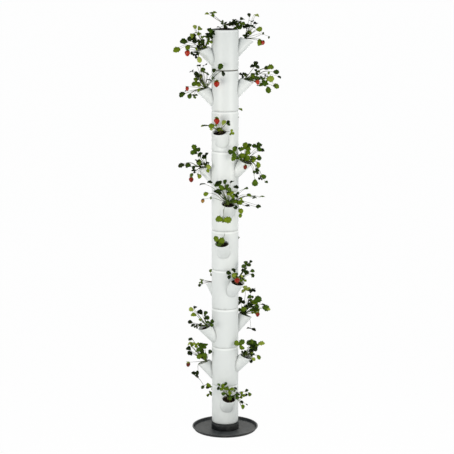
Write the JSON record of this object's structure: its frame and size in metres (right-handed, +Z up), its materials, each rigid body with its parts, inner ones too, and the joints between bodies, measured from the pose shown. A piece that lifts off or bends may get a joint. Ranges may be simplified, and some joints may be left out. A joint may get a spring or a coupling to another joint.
{
  "type": "vertical planter tower",
  "caption": "Free-standing column of stacked, separately turning planting tiers, each with two slanted side pockets, on a collar in a round saucer, planted with strawberries.",
  "frame": {"origin": "middle of the saucer's flat underside, on the floor", "axes": "+Z up along the column's axis, -Y towards the viewer of the front, +X to the viewer's right"},
  "size_m": [0.4801, 0.3201, 1.9666],
  "materials": {
    "white_plastic": "satin moulded plastic",
    "dark_plastic": "satin moulded plastic, dark grey",
    "soil": "rough, crumbly potting soil",
    "foliage": "satin leaves and stalks, with red berries"
  },
  "bodies": {
    "base": {"saucer": "dark_plastic", "collar": "dark_plastic", "drain_grate": "dark_plastic"},
    "tier_01": {"tier_01_shell": "white_plastic", "tier_01_soil": "soil", "tier_01_plant_high": "foliage", "tier_01_plant_low": "foliage"},
    "tier_02": {"tier_02_shell": "white_plastic", "tier_02_soil": "soil", "tier_02_plant_high": "foliage", "tier_02_plant_low": "foliage"},
    "tier_03": {"tier_03_shell": "white_plastic", "tier_03_soil": "soil", "tier_03_plant_high": "foliage", "tier_03_plant_low": "foliage"},
    "tier_04": {"tier_04_shell": "white_plastic", "tier_04_soil": "soil", "tier_04_plant_high": "foliage", "tier_04_plant_low": "foliage"},
    "tier_05": {"tier_05_shell": "white_plastic", "tier_05_soil": "soil", "tier_05_plant_high": "foliage", "tier_05_plant_low": "foliage"},
    "tier_06": {"tier_06_shell": "white_plastic", "tier_06_soil": "soil", "tier_06_plant_high": "foliage", "tier_06_plant_low": "foliage"},
    "tier_07": {"tier_07_shell": "white_plastic", "tier_07_soil": "soil", "tier_07_plant_high": "foliage", "tier_07_plant_low": "foliage"},
    "tier_08": {"tier_08_shell": "white_plastic", "tier_08_soil": "soil", "tier_08_plant_high": "foliage", "tier_08_plant_low": "foliage"},
    "tier_09": {"tier_09_shell": "white_plastic", "tier_09_soil": "soil", "tier_09_plant_high": "foliage", "tier_09_plant_low": "foliage"},
    "tier_10": {"tier_10_shell": "white_plastic", "tier_10_soil": "soil", "tier_10_plant_high": "foliage", "tier_10_plant_low": "foliage", "crown_plant": "foliage"}
  },
  "joints": [
    {"name": "tier_01_swivel", "type": "hinge", "parent": "base", "child": "tier_01", "pos_m": [0, 0, 0.0376], "axis": [0, 0, 1], "continuous": true},
    {"name": "tier_02_swivel", "type": "hinge", "parent": "tier_01", "child": "tier_02", "pos_m": [0, 0, 0.2236], "axis": [0, 0, 1], "continuous": true},
    {"name": "tier_03_swivel", "type": "hinge", "parent": "tier_02", "child": "tier_03", "pos_m": [0, 0, 0.4096], "axis": [0, 0, 1], "continuous": true},
    {"name": "tier_04_swivel", "type": "hinge", "parent": "tier_03", "child": "tier_04", "pos_m": [0, 0, 0.5956], "axis": [0, 0, 1], "continuous": true},
    {"name": "tier_05_swivel", "type": "hinge", "parent": "tier_04", "child": "tier_05", "pos_m": [0, 0, 0.7816], "axis": [0, 0, 1], "continuous": true},
    {"name": "tier_06_swivel", "type": "hinge", "parent": "tier_05", "child": "tier_06", "pos_m": [0, 0, 0.9676], "axis": [0, 0, 1], "continuous": true},
    {"name": "tier_07_swivel", "type": "hinge", "parent": "tier_06", "child": "tier_07", "pos_m": [0, 0, 1.1536], "axis": [0, 0, 1], "continuous": true},
    {"name": "tier_08_swivel", "type": "hinge", "parent": "tier_07", "child": "tier_08", "pos_m": [0, 0, 1.3396], "axis": [0, 0, 1], "continuous": true},
    {"name": "tier_09_swivel", "type": "hinge", "parent": "tier_08", "child": "tier_09", "pos_m": [0, 0, 1.5256], "axis": [0, 0, 1], "continuous": true},
    {"name": "tier_10_swivel", "type": "hinge", "parent": "tier_09", "child": "tier_10", "pos_m": [0, 0, 1.7116], "axis": [0, 0, 1], "continuous": true}
  ]
}
